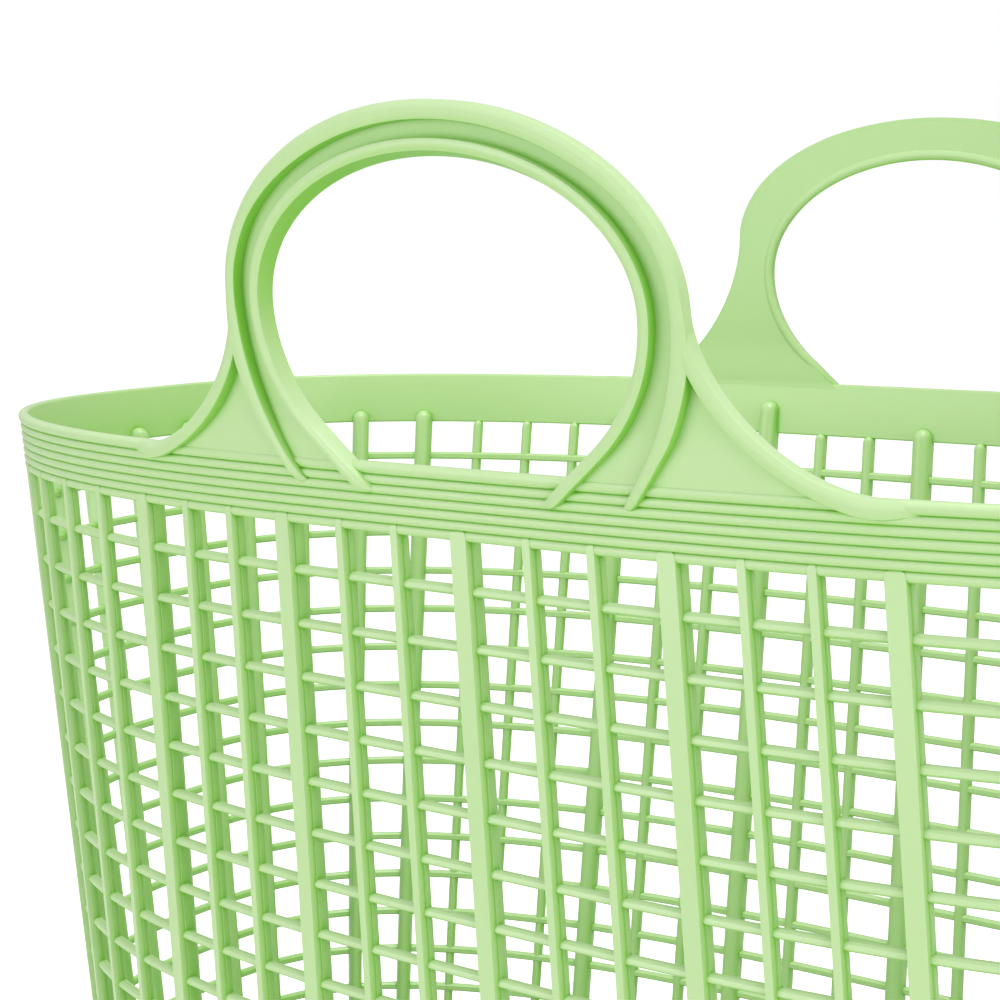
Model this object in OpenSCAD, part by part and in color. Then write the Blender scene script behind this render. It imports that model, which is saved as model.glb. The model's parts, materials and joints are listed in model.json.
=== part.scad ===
// Rolling mesh basket trolley: a one-piece tapered mesh basket with two carrying
// hoops, on a moulded chassis with two fixed wheels, two swivel casters and a
// two-stage telescopic pull handle.
// X runs along the basket with the pull handle at +X, Y across it, Z up from the ground.
// Left is +Y and right is -Y. All lengths are in millimetres.
// Shapes are drawn about the basket's centre. Each node is then moved back along X, so that
// the origin lies on the ground under the middle of the whole trolley.

/* [Basket] */
// Half length of the rim in plan
rim_half_len = 248.5; // [235:0.5:260]
// Half width of the rim in plan
rim_half_wid = 132.5; // [125:0.5:145]
// Squareness of the plan curve, where 2 is an ellipse
plan_power = 2.7; // [2.5:0.1:3]
// Height of the rim above the ground
rim_z = 384; // [375:1:395]
// Inward lean of the walls for each unit of depth
wall_lean = 0.08; // [0.06:0.01:0.1]
// Depth of the lattice wall from its outer to its inner face
wall_t = 6; // [4:0.5:8]
// Thickness of the basket floor
floor_t = 3; // [2:0.5:5]

/* [Carrying hoops] */
// Height of the top of each hoop above the rim
hoop_rise = 89; // [80:0.5:110]
// Half width of each hoop at the height where its flares begin
hoop_half_wid = 69.5; // [66:0.5:80]
// Half width of each hoop where its flares run out into the rim
flare_half_wid = 113; // [105:1:125]
// Height above the rim at which the flares begin
flare_rise = 40; // [35:1:50]
// Half width of the hand opening
opening_half_wid = 57; // [45:0.5:60]
// Height above the rim of the widest part of the hand opening
opening_mid = 38.5; // [30:0.5:45]
// Height above the rim of the top of the hand opening
opening_rise = 76.5; // [65:0.5:78]
// Depth of the hoops through the wall
hoop_t = 6; // [5:0.5:10]
// Distance that the hoops stand proud of the rim
hoop_proud = 2.5; // [0:0.5:4]
// Outward tilt of each hoop beyond the wall's lean
hoop_tilt = 0.055; // [0:0.005:0.1]

/* [Main wheels] */
// Radius of a main wheel over its tyre
wheel_r = 38; // [34:1:38]
// Width of a main wheel over its tyre
wheel_w = 24; // [20:1:26]
// Distance of the main axle in front of the basket's centre
axle_x = 205; // [195:1:210]
// Distance of each main wheel's centre from the centre plane
wheel_y = 96; // [95:1:110]
// Radius of the main axle
axle_r = 4; // [3:0.5:5]

/* [Casters] */
// Radius of a caster wheel over its tyre
caster_r = 25; // [22:1:25]
// Distance of the caster stems behind the basket's centre
caster_x = 150; // [130:1:160]
// Distance of each caster stem from the centre plane
caster_y = 56; // [54:1:60]
// Distance that a caster wheel trails behind its stem
caster_trail = 20; // [16:1:22]

/* [Pull handle] */
// Distance of the handle tubes in front of the basket's centre
tube_x = 264; // [264:1:270]
// Distance of each handle tube from the centre plane
tube_y = 45; // [42:1:50]
// Outer radius of the fixed tubes
outer_tube_r = 11; // [11:0.5:11.5]
// Outer radius of the middle tubes
middle_tube_r = 9; // [8.8:0.1:9.1]
// Outer radius of the inner tubes
inner_tube_r = 7.2; // [7.1:0.1:7.3]
// Travel of the middle tubes
lower_travel = 240; // [180:1:240]
// Travel of the inner tubes
upper_travel = 225; // [180:1:225]

/* [Hidden] */

// Colours
c_basket = [0.73, 0.88, 0.64];
c_chassis = [0.42, 0.47, 0.44];
c_dark = [0.20, 0.21, 0.22];
c_tyre = [0.12, 0.12, 0.13];
c_hub = [0.80, 0.82, 0.80];
c_nylon = [0.93, 0.93, 0.90];
c_steel = [0.72, 0.73, 0.75];
c_alloy = [0.82, 0.83, 0.85];

// Shared fits and small sizes
fit = 0.05;            // radial gap of a running fit
seat = 0.1;            // gap between stacked fixed parts
far = 400;             // longer than any part that a cutter must pass through
smooth = 64;           // segments of a round face
plan_steps = 96;       // points on the plan curve
screw_r = 2.5;         // radius of an M5 shank
screw_head_r = 4.7;    // radius of an M5 head
washer_t = 1.2;        // thickness of a washer

// Chassis
deck_z = 82;
deck_t = 3.9;
deck_top = deck_z + deck_t;
base_z = deck_top + seat;
lip_h = 10;
lip_t = 2.5;
chassis_rib_z = 70;
rear_deck_x = [150, tube_x + 18.5];
rear_deck_y = 80;
corner_r = 12;
floor_top = base_z + floor_t;
floor_screws = [
    for (side = [-1, 1], p = [[-105, 78], [30, 88], [150, 58]]) [p[0], side * p[1]]
];
post_r = 5.5;           // posts under the basket floor that take the screws
post_z = 70;
boss_r = 9;             // chassis bosses that hold the posts
boss_z = 66;
post_gap = 0.15;

// Middle of the whole trolley, measured from the basket's centre
middle_x = (rear_deck_x[1] - rim_half_len) / 2;

// Main wheel details
bracket_y = 70;        // inner face of each axle bracket
bracket_t = 10;
hub_r = 30;
bush_r = 6;
bush_half = wheel_w / 2 + 0.6;
cap_y = wheel_y + bush_half + 0.3;
axle_half = cap_y + 3.3;

// Caster details
crown_z = [52.5, 60.4];
thrust_z = crown_z[1] + 0.2;
bush_top = 77;
stem_r = 5;
stem_top = 81;
groove_z = [bush_top + 0.2, bush_top + 1.4];
caster_hub_r = 17.5;
caster_half = 8;
leg_y = [9.8, 12.8];
rivet_r = 3;
fork_half_len = 15;

// Pull handle details
tube_wall = 1.2;
thin_wall = 1;
socket_r = 15;
socket_h = 40;
outer_bottom = deck_top + 0.3;
outer_top = 396;
collar_top = 404;
bolt_z = 96;
plug_h = 16;
plug_spigot = 10;
middle_bottom = 144;
middle_top = 414;
middle_collar_z = [collar_top + 0.3, 420];
inner_bottom = 174;
inner_top = 450;
lower_pin_z = middle_bottom - plug_h / 2;
upper_pin_z = inner_bottom - plug_h / 2;
pin_r = 2;
outer_bore_r = outer_tube_r - tube_wall;
middle_bore_r = middle_tube_r - thin_wall;
inner_bore_r = inner_tube_r - thin_wall;

// Rim bracket details: its screws pass through the first row of lattice windows
bracket_z = [349, 371];
bracket_screw_z = rim_z - 24.2;
bracket_screw_y = 12;
bracket_gap = 1;
plate_gap = 0.4;
plate_t = 3;
plate_seat_x = rim_half_len - lean_in(bracket_screw_z) - wall_t - plate_gap - plate_t + 0.6;

// Grip details
grip_z = 468;
grip_r = 13;
grip_stem_r = 12;
grip_split = 470;
grip_half = tube_y + 3;
cavity_z = [458, 477];
cavity_half = [7.5, 49];
button_half = [5.7, 15];
button_top = 485;
button_travel = 4;
yoke_z = [466, 470];
rod_r = 1.5;

// ---- Shared shapes ----

// How far the wall has come in from the rim at a height
function lean_in(z) = wall_lean * (rim_z - z);

// Signed power, which makes the plan curve from a circle's points
function spow(v, e) = sign(v) * pow(abs(v), e);

// Point of the rim's plan curve at angle t
function rim_point(t) = [
    rim_half_len * spow(cos(t), 2 / plan_power),
    rim_half_wid * spow(sin(t), 2 / plan_power)
];

// Outward direction of the rim's plan curve at angle t
function rim_normal(t) =
    let (e = 2 - 2 / plan_power)
    let (g = [spow(cos(t), e) / rim_half_len, spow(sin(t), e) / rim_half_wid])
    g / norm(g);

// Closed plan curve, everywhere the same distance inside the rim's curve
function plan(inset) = [
    for (i = [0 : plan_steps - 1]) let (t = 360 * i / plan_steps)
        rim_point(t) - inset * rim_normal(t)
];

// Solid that follows the basket's leaning walls, set in from them by inset
module basket_block(z0, z1, inset) {
    n = plan_steps;
    corners = concat(
        [for (p = plan(lean_in(z0) + inset)) [p[0], p[1], z0]],
        [for (p = plan(lean_in(z1) + inset)) [p[0], p[1], z1]]
    );
    walls = [
        for (i = [0 : n - 1], half = [0, 1]) let (k = (i + 1) % n)
            half == 0 ? [i, n + k, k] : [i, n + i, n + k]
    ];
    caps = [[for (i = [0 : n - 1]) i], [for (i = [n - 1 : -1 : 0]) n + i]];
    polyhedron(corners, concat(walls, caps), convexity = 4);
}

// Upright solid with the basket's plan at the given height, grown by grow
module plan_prism(z0, z1, at_z, grow) {
    translate([0, 0, z0])
        linear_extrude(height = z1 - z0) polygon(plan(lean_in(at_z) - grow));
}

// Cylinder along Y between two places, centred on x and z
module rod_y(x, z, y0, y1, r) {
    translate([x, y1, z]) rotate([90, 0, 0]) cylinder(h = y1 - y0, r = r, $fn = smooth);
}

// Cylinder along X between two places, centred on y and z
module rod_x(y, z, x0, x1, r) {
    translate([x0, y, z]) rotate([0, 90, 0]) cylinder(h = x1 - x0, r = r, $fn = smooth);
}

// Cylinder along Z between two heights
module rod_z(x, y, z0, z1, r) {
    translate([x, y, z0]) cylinder(h = z1 - z0, r = r, $fn = smooth);
}

// Straight tube along Z with a cross hole in its +X wall at each given height
module tube(x, y, z0, z1, r, bore, holes, hole_r) {
    difference() {
        rod_z(x, y, z0, z1, r);
        rod_z(x, y, z0 - 1, z1 + 1, bore);
        for (z = holes) rod_x(y, z, x, x + far, hole_r);
    }
}

// Flat rectangle with round corners, as one face
module round_rect(x0, x1, y0, y1, r) {
    translate([x0 + r, y0]) square([x1 - x0 - 2 * r, y1 - y0]);
    translate([x0, y0 + r]) square([x1 - x0, y1 - y0 - 2 * r]);
    for (x = [x0 + r, x1 - r], y = [y0 + r, y1 - r]) translate([x, y]) circle(r, $fn = smooth);
}

// Coil spring along Z from the origin, as one closed solid
module coil(r, wire, length, turns) {
    around = 6;
    steps = turns * 14;
    rise = (length - 2 * wire) / steps;
    rings = [
        for (i = [0 : steps]) let (a = 360 * i / 14)
            for (j = [0 : around - 1]) let (b = 360 * j / around, q = r + wire * cos(b))
                [q * cos(a), q * sin(a), wire + i * rise + wire * sin(b)]
    ];
    sides = [
        for (i = [0 : steps - 1], j = [0 : around - 1]) let (k = (j + 1) % around)
            [i * around + j, (i + 1) * around + j, (i + 1) * around + k, i * around + k]
    ];
    start = [for (j = [0 : around - 1]) j];
    finish = [for (j = [around - 1 : -1 : 0]) steps * around + j];
    polyhedron(rings, concat(sides, [start, finish]), convexity = 10);
}

// ---- Basket ----

// Right half of the hoop's outline above the rim, from the flare's foot to the top
flare_w = flare_half_wid - hoop_half_wid;
flare_power = 1.7;
hoop_side = concat(
    [for (i = [0 : 12]) let (u = 1 - i / 12)
        [flare_half_wid - flare_w * pow(1 - pow(u, flare_power), 1 / flare_power),
         flare_rise * (1 - u)]],
    [for (i = [1 : 16]) let (t = 90 * i / 16)
        [hoop_half_wid * cos(t), flare_rise + (hoop_rise - flare_rise) * sin(t)]]
);

// Half height of the lower part of the hand opening, which runs on below the rim line
opening_drop = 46;

// Hoop outline with its hand opening, drawn with the rim line at zero height
module hoop_face() {
    overlap = 6;
    difference() {
        union() {
            polygon(concat(hoop_side, [for (i = [len(hoop_side) - 2 : -1 : 0])
                [-hoop_side[i][0], hoop_side[i][1]]]));
            translate([-flare_half_wid, -overlap]) square([2 * flare_half_wid, overlap + 0.01]);
        }
        polygon([for (i = [0 : 47]) let (t = 360 * i / 48)
            [opening_half_wid * cos(t),
             opening_mid + sin(t) * (sin(t) > 0 ? opening_rise - opening_mid : opening_drop)]]);
    }
}

// One hoop on the wall at the given side, tilted outward from the rim
module hoop(side) {
    low = rim_z - 6;
    high = rim_z + hoop_rise + 2;
    multmatrix([
        [1, 0, 0, 0],
        [0, 1, side * hoop_tilt, -side * hoop_tilt * rim_z],
        [0, 0, 1, 0]
    ])
        intersection() {
            difference() {
                basket_block(low, high, -hoop_proud);
                basket_block(low - 1, high + 1, hoop_t - hoop_proud);
            }
            translate([0, side > 0 ? far : 0, rim_z]) rotate([90, 0, 0])
                linear_extrude(height = far) hoop_face();
        }
}

module basket() {
    color(c_basket) difference() {
        union() {
            difference() {
                basket_block(base_z, rim_z, 0);
                basket_block(floor_top, rim_z + 1, wall_t);
            }
            for (p = floor_screws) rod_z(p[0], p[1], post_z, base_z + 1, post_r);
            hoop(-1);
            hoop(1);
        }
        for (p = floor_screws) rod_z(p[0], p[1], post_z - 1, base_z - 1, screw_r + 0.02);
        for (side = [-1, 1])
            rod_x(side * bracket_screw_y, bracket_screw_z, axle_x, rim_half_len + 10, 3.5);
    }
}

// ---- Chassis ----

module chassis() {
    color(c_chassis) difference() {
        union() {
            chassis_tray();
            chassis_ribs();
            for (side = [-1, 1]) {
                axle_bracket(side);
                rod_z(-caster_x, side * caster_y, thrust_z + 1.6, deck_top, 12);
                rod_z(tube_x, side * tube_y, deck_z, deck_z + socket_h, socket_r);
                socket_web(side);
            }
            for (p = floor_screws) rod_z(p[0], p[1], boss_z, deck_top, boss_r);
        }
        for (side = [-1, 1]) {
            rod_z(-caster_x, side * caster_y, 0, far, 8.02);
            rod_z(tube_x, side * tube_y, deck_top, far, outer_tube_r + fit);
        }
        rod_y(tube_x, bolt_z, -far, far, screw_r + fit);
        rod_y(axle_x, wheel_r, -far, far, axle_r + fit);
        for (p = floor_screws) {
            rod_z(p[0], p[1], post_z - seat, far, post_r + post_gap);
            rod_z(p[0], p[1], boss_z - 1, far, screw_r + fit);
        }
    }
}

// Deck with the basket's plan, its upstanding lip and the rear deck behind it
module chassis_tray() {
    lip_gap = 0.5;
    lip_top = deck_top + lip_h;
    plan_prism(deck_z, deck_top, lip_top, lip_gap + lip_t);
    difference() {
        plan_prism(deck_z, lip_top, lip_top, lip_gap + lip_t);
        plan_prism(deck_z - 1, lip_top + 1, lip_top, lip_gap);
    }
    difference() {
        translate([0, 0, deck_z]) linear_extrude(height = deck_t)
            round_rect(rear_deck_x[0], rear_deck_x[1], -rear_deck_y, rear_deck_y, corner_r);
        plan_prism(deck_z + 0.5, far, lip_top, lip_gap + lip_t / 2);
    }
}

// Stiffening ribs under the deck, clear of the wheels and of the caster swivel circles
module chassis_ribs() {
    rib_t = 2.5;
    rib_y = 66;
    run = rim_half_len - lean_in(base_z) - 12;
    intersection() {
        plan_prism(chassis_rib_z, deck_z + 1, base_z, -8);
        union() {
            for (y = [-rib_y, -rib_y / 3, rib_y / 3, rib_y])
                translate([-run, y - rib_t / 2, chassis_rib_z])
                    cube([2 * run, rib_t, deck_z - chassis_rib_z + 0.5]);
            for (x = [-195, -105, -60, -15, 30, 75, 120, 165])
                translate([x - rib_t / 2, -rib_y, chassis_rib_z])
                    cube([rib_t, 2 * rib_y, deck_z - chassis_rib_z + 0.5]);
        }
    }
}

// Bracket that carries one end of the main axle
module axle_bracket(side) {
    y0 = side > 0 ? bracket_y : -bracket_y - bracket_t;
    translate([0, y0 + bracket_t, 0]) rotate([90, 0, 0]) linear_extrude(height = bracket_t) {
        polygon([
            [axle_x - 30, deck_z + 1], [axle_x + 40, deck_z + 1],
            [axle_x + 12, wheel_r], [axle_x - 12, wheel_r]
        ]);
        translate([axle_x, wheel_r]) circle(12, $fn = smooth);
    }
}

// Upright web that ties a tube socket to the rear deck
module socket_web(side) {
    web_t = 4;
    foot = 22;
    translate([0, side * tube_y + web_t / 2, 0]) rotate([90, 0, 0])
        linear_extrude(height = web_t)
            polygon([
                [tube_x - socket_r - foot + 5, deck_z + 1], [tube_x, deck_z + 1],
                [tube_x, deck_z + socket_h], [tube_x - socket_r, deck_z + socket_h]
            ]);
}

// Screws that come up through the chassis bosses into the basket's posts
module chassis_screws() {
    head_top = boss_z - washer_t - 2 * seat;
    head_h = 2.8;
    color(c_steel) for (p = floor_screws) difference() {
        union() {
            rod_z(p[0], p[1], head_top - 0.5, base_z - 2, screw_r);
            rod_z(p[0], p[1], head_top - head_h, head_top, screw_head_r);
        }
        translate([p[0], p[1], head_top - head_h - 1]) cylinder(h = 2.6, r = 1.7, $fn = 6);
    }
}

module chassis_washers() {
    color(c_steel) for (p = floor_screws) difference() {
        rod_z(p[0], p[1], boss_z - washer_t - seat, boss_z - seat, 6.5);
        rod_z(p[0], p[1], 0, far, screw_r + 0.2);
    }
}

// ---- Main wheels ----

module main_axle() {
    color(c_steel) rod_y(axle_x, wheel_r, -axle_half, axle_half, axle_r);
}

// Push-on caps at both ends of the main axle
module axle_caps() {
    color(c_dark) for (side = [-1, 1]) scale([1, side, 1]) difference() {
        union() {
            rod_y(axle_x, wheel_r, cap_y, cap_y + 3, 9);
            rod_y(axle_x, wheel_r, cap_y, cap_y + 5, 7);
        }
        rod_y(axle_x, wheel_r, cap_y - 1, axle_half + seat, axle_r + fit);
    }
}

// Nylon tubes that keep the wheels off the brackets
module axle_spacers() {
    y0 = bracket_y + bracket_t + seat;
    y1 = wheel_y - bush_half - 0.2;
    color(c_nylon) for (side = [-1, 1]) scale([1, side, 1]) difference() {
        rod_y(axle_x, wheel_r, y0, y1, 7);
        rod_y(axle_x, wheel_r, y0 - 1, y1 + 1, axle_r + fit);
    }
}

// Spoked hub of a main wheel
module wheel_hub(side) {
    y = side * wheel_y;
    half = wheel_w / 2 - 1;
    web_half = 3;
    color(c_hub) difference() {
        rod_y(axle_x, wheel_r, y - half, y + half, hub_r);
        for (face = [-1, 1]) difference() {
            rod_y(axle_x, wheel_r, face > 0 ? y + web_half : y - far, face > 0 ? y + far : y - web_half,
                hub_r - 4);
            rod_y(axle_x, wheel_r, y - half - 1, y + half + 1, 10);
        }
        for (i = [0 : 5]) let (t = 60 * i)
            rod_y(axle_x + 18 * cos(t), wheel_r + 18 * sin(t), y - far, y + far, 5.5);
        rod_y(axle_x, wheel_r, y - far, y + far, bush_r + 0.02);
    }
}

// Tyre cross section, standing at its radius with rounded shoulders
module tyre_section(r0, r1, half, shoulder) {
    translate([r0, -half]) square([r1 - r0 - shoulder, 2 * half]);
    translate([r0, -half + shoulder]) square([r1 - r0, 2 * (half - shoulder)]);
    for (s = [-1, 1])
        translate([r1 - shoulder, s * (half - shoulder)]) circle(shoulder, $fn = smooth);
}

module tyre(x, y, z, r0, r1, half, shoulder) {
    color(c_tyre) translate([x, y, z]) rotate([90, 0, 0])
        rotate_extrude($fn = smooth) tyre_section(r0, r1, half, shoulder);
}

module wheel_tyre(side) {
    tyre(axle_x, side * wheel_y, wheel_r, hub_r + 0.02, wheel_r, wheel_w / 2, 4);
}

module wheel_bush(side) {
    y = side * wheel_y;
    color(c_nylon) difference() {
        rod_y(axle_x, wheel_r, y - bush_half, y + bush_half, bush_r);
        rod_y(axle_x, wheel_r, y - far, y + far, axle_r + fit);
    }
}

// ---- Casters ----

module caster_bush(side) {
    color(c_nylon) difference() {
        union() {
            rod_z(-caster_x, side * caster_y, thrust_z, bush_top, 8);
            rod_z(-caster_x, side * caster_y, thrust_z, thrust_z + 1.5, 11);
        }
        rod_z(-caster_x, side * caster_y, 0, far, stem_r + fit);
    }
}

// Fork: a round crown and two legs that trail back to the wheel's axle
module caster_fork(side) {
    y = side * caster_y;
    wheel_x = -caster_x - caster_trail;
    color(c_dark) difference() {
        union() {
            rod_z(-caster_x, y, crown_z[0], crown_z[1], fork_half_len);
            translate([-caster_x - fork_half_len - 2, y - leg_y[1], crown_z[0]])
                cube([fork_half_len + 10, 2 * leg_y[1], crown_z[1] - crown_z[0]]);
            for (leg = [-1, 1])
                translate([0, y + (leg > 0 ? leg_y[1] : -leg_y[0]), 0]) rotate([90, 0, 0])
                    linear_extrude(height = leg_y[1] - leg_y[0]) {
                        polygon([
                            [wheel_x - 9, caster_r], [wheel_x + 9, caster_r],
                            [-caster_x + 8, crown_z[0]], [-caster_x + 8, crown_z[1]],
                            [-caster_x - fork_half_len - 2, crown_z[1]]
                        ]);
                        translate([wheel_x, caster_r]) circle(9, $fn = smooth);
                    }
        }
        rod_z(-caster_x, y, crown_z[0] + 1.5, far, stem_r + 0.02);
        rod_y(wheel_x, caster_r, y - far, y + far, rivet_r + 0.02);
    }
}

// Steel stem with a groove for its retaining clip
module caster_stem(side) {
    color(c_steel) difference() {
        rod_z(-caster_x, side * caster_y, crown_z[0] + 1.5, stem_top, stem_r);
        difference() {
            rod_z(-caster_x, side * caster_y, groove_z[0], groove_z[1], stem_r + 1);
            rod_z(-caster_x, side * caster_y, groove_z[0] - 1, groove_z[1] + 1, stem_r - 0.8);
        }
    }
}

// Spring clip in the stem's groove
module caster_clip(side) {
    color(c_steel) difference() {
        rod_z(-caster_x, side * caster_y, groove_z[0] + fit, groove_z[1] - fit, 7.4);
        rod_z(-caster_x, side * caster_y, groove_z[0] - 1, groove_z[1] + 1, stem_r - 0.75);
        translate([-caster_x, side * caster_y - 1.5, groove_z[0] - 1]) cube([10, 3, 4]);
    }
}

// Riveted axle of a caster wheel
module caster_axle(side) {
    y = side * caster_y;
    x = -caster_x - caster_trail;
    color(c_steel) {
        rod_y(x, caster_r, y - leg_y[1] - 1.4, y + leg_y[1] + 1.4, rivet_r);
        for (end = [-1, 1])
            rod_y(x, caster_r, y + end * (leg_y[1] + 0.75) - 0.7, y + end * (leg_y[1] + 0.75) + 0.7, 5);
    }
}

module caster_hub(side) {
    y = side * caster_y;
    x = -caster_x - caster_trail;
    boss_half = leg_y[0] - 0.2;
    color(c_hub) difference() {
        union() {
            rod_y(x, caster_r, y - 3, y + 3, caster_hub_r);
            rod_y(x, caster_r, y - boss_half, y + boss_half, 6.5);
            difference() {
                rod_y(x, caster_r, y - caster_half + 0.5, y + caster_half - 0.5, caster_hub_r);
                rod_y(x, caster_r, y - far, y + far, caster_hub_r - 3);
            }
        }
        rod_y(x, caster_r, y - far, y + far, rivet_r + fit);
    }
}

module caster_tyre(side) {
    tyre(-caster_x - caster_trail, side * caster_y, caster_r, caster_hub_r + 0.02, caster_r,
        caster_half, 3);
}

// ---- Pull handle: fixed part ----

module outer_tube(side) {
    holes = [lower_pin_z, lower_pin_z + lower_travel];
    color(c_alloy) difference() {
        tube(tube_x, side * tube_y, outer_bottom, outer_top, outer_tube_r, outer_bore_r, holes,
            pin_r + 0.3);
        rod_y(tube_x, bolt_z, -far, far, screw_r + 0.1);
    }
}

// Collar over the top of a tube, with a bore that guides the next tube
module collar(y, z0, z1, tube_end, r, tube_r, guide_r) {
    color(c_dark) difference() {
        union() {
            rod_z(tube_x, y, z0, z1 - 1.5, r);
            rod_z(tube_x, y, z1 - 1.6, z1, r - 1);
        }
        rod_z(tube_x, y, z0 - 1, tube_end + seat, tube_r + 0.02);
        rod_z(tube_x, y, z0 - 1, z1 + 1, guide_r + fit);
    }
}

module outer_collar(side) {
    collar(side * tube_y, outer_top - 8, collar_top, outer_top, 13.5, outer_tube_r, middle_tube_r);
}

// Cross bolts with their nuts, one through each socket, with the heads outside
module tube_bolts() {
    head_y = tube_y + socket_r + seat;
    nut_y = tube_y - socket_r - seat;
    nut_h = 4.5;
    color(c_steel) for (side = [-1, 1]) scale([1, side, 1]) {
        rod_y(tube_x, bolt_z, nut_y - nut_h - 1.5, head_y + 0.5, screw_r);
        rod_y(tube_x, bolt_z, head_y, head_y + 3, screw_head_r);
        translate([tube_x, nut_y, bolt_z]) rotate([90, 0, 0]) difference() {
            cylinder(h = nut_h, r = 4.6, $fn = 6);
            translate([0, 0, -1]) cylinder(h = nut_h + 2, r = screw_r + 0.02, $fn = smooth);
        }
    }
}

// Clamp under the rim band that carries both outer tubes
module handle_bracket() {
    ear_r = 15.5;
    color(c_chassis) difference() {
        union() {
            translate([axle_x, -tube_y, bracket_z[0]])
                cube([tube_x + 6 - axle_x, 2 * tube_y, bracket_z[1] - bracket_z[0]]);
            for (side = [-1, 1]) {
                rod_z(tube_x, side * tube_y, bracket_z[0], bracket_z[1], ear_r);
                translate([axle_x, side > 0 ? tube_y : -tube_y - 12, bracket_z[0]])
                    cube([tube_x - axle_x, 12, bracket_z[1] - bracket_z[0]]);
            }
        }
        basket_block(bracket_z[0] - 5, bracket_z[1] + 5, -bracket_gap);
        for (side = [-1, 1]) {
            rod_z(tube_x, side * tube_y, 0, far * 2, outer_tube_r + fit);
            rod_x(side * bracket_screw_y, bracket_screw_z, axle_x, far, screw_r + fit);
        }
    }
}

// Curved plate against the inside of the wall, behind the bracket
module bracket_plate() {
    inner_inset = wall_t + plate_gap;
    plate_half = 42;
    color(c_chassis) difference() {
        intersection() {
            difference() {
                basket_block(bracket_z[0] - 5, bracket_z[1] + 5, inner_inset);
                basket_block(bracket_z[0] - 6, bracket_z[1] + 6, inner_inset + plate_t);
            }
            translate([axle_x, -plate_half, bracket_z[0] + 1])
                cube([60, 2 * plate_half, bracket_z[1] - bracket_z[0] - 2]);
        }
        for (side = [-1, 1]) {
            rod_x(side * bracket_screw_y, bracket_screw_z, axle_x, far, screw_r + 0.1);
            rod_x(side * bracket_screw_y, bracket_screw_z, axle_x, plate_seat_x, 5.4);
        }
    }
}

module bracket_screws() {
    head_x = plate_seat_x - fit;
    color(c_steel) for (side = [-1, 1]) difference() {
        union() {
            rod_x(side * bracket_screw_y, bracket_screw_z, head_x - 0.5, tube_x + 4, screw_r);
            rod_x(side * bracket_screw_y, bracket_screw_z, head_x - 3, head_x, screw_head_r);
        }
        translate([head_x - 4, side * bracket_screw_y, bracket_screw_z]) rotate([0, 90, 0])
            cylinder(h = 3, r = 1.7, $fn = 6);
    }
}

// ---- Pull handle: sliding stages ----

// Plug in the foot of a sliding tube: it guides the tube and holds a lock pin
module plug(side, tube_end, guide_r, bore_r) {
    y = side * tube_y;
    pin_z = tube_end - plug_h / 2;
    color(c_dark) difference() {
        union() {
            rod_z(tube_x, y, tube_end - plug_h, tube_end - seat, guide_r - fit);
            rod_z(tube_x, y, tube_end - 1, tube_end + plug_spigot, bore_r - 0.02);
        }
        rod_x(y, pin_z, tube_x - 5, tube_x + far, pin_r + fit);
    }
}

// Pair of lock pins, one in each plug of a stage
module lock_pins(pin_z, reach) {
    color(c_steel) for (side = [-1, 1])
        rod_x(side * tube_y, pin_z, tube_x + 1.6, tube_x + reach, pin_r);
}

// Pair of springs behind the lock pins
module lock_springs(pin_z) {
    color(c_steel) for (side = [-1, 1])
        translate([tube_x - 4.95, side * tube_y, pin_z]) rotate([0, 90, 0])
            coil(1.45, 0.3, 6.5, 5);
}

module middle_tube(side) {
    holes = [upper_pin_z, upper_pin_z + upper_travel];
    color(c_alloy) tube(tube_x, side * tube_y, middle_bottom, middle_top, middle_tube_r,
        middle_bore_r, holes, pin_r + 0.2);
}

module middle_collar(side) {
    collar(side * tube_y, middle_collar_z[0], middle_collar_z[1], middle_top, 12,
        middle_tube_r, inner_tube_r);
}

module inner_tube(side) {
    color(c_alloy) tube(tube_x, side * tube_y, inner_bottom, inner_top, inner_tube_r,
        inner_bore_r, [], 0);
}

// Hand grip before it is parted: a bar with round ends on two stems
module grip_solid() {
    rod_y(tube_x, grip_z, -grip_half, grip_half, grip_r);
    for (side = [-1, 1]) {
        translate([tube_x, side * grip_half, grip_z]) sphere(grip_r, $fn = smooth);
        rod_z(tube_x, side * tube_y, middle_collar_z[1] + 0.6, grip_z, grip_stem_r);
    }
}

// Space inside the grip for the button and its yoke
module grip_cavity() {
    translate([tube_x - cavity_half[0], -cavity_half[1], cavity_z[0]])
        cube([2 * cavity_half[0], 2 * cavity_half[1], cavity_z[1] - cavity_z[0]]);
}

module grip() {
    color(c_dark) difference() {
        grip_solid();
        translate([0, -far / 2, grip_split]) cube([far, far, far]);
        grip_cavity();
        for (side = [-1, 1]) {
            rod_z(tube_x, side * tube_y, 0, inner_top + seat, inner_tube_r + 0.02);
            rod_z(tube_x, side * tube_y, inner_top, cavity_z[0] + 1, rod_r + 0.2);
        }
    }
}

module grip_cover() {
    color(c_dark) difference() {
        grip_solid();
        translate([0, -far / 2, grip_split + seat - far]) cube([far, far, far]);
        grip_cavity();
        translate([tube_x - button_half[0] - 0.15, -button_half[1] - 0.15, cavity_z[0]])
            cube([2 * button_half[0] + 0.3, 2 * button_half[1] + 0.3, far]);
    }
}

// Push button with a crowned top and a retaining flange
module release_button() {
    flange_z = [yoke_z[1] + seat, yoke_z[1] + 2];
    color(c_basket) difference() {
        union() {
            translate([0, 0, flange_z[0]]) linear_extrude(height = button_top - flange_z[0])
                round_rect(tube_x - button_half[0], tube_x + button_half[0],
                    -button_half[1], button_half[1], 3);
            translate([tube_x - cavity_half[0] + 0.3, -button_half[1] - 3, flange_z[0]])
                cube([2 * cavity_half[0] - 0.6, 2 * button_half[1] + 6, flange_z[1] - flange_z[0]]);
        }
        rod_x(0, button_top + 58.8, 0, far, 60);
    }
}

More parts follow.
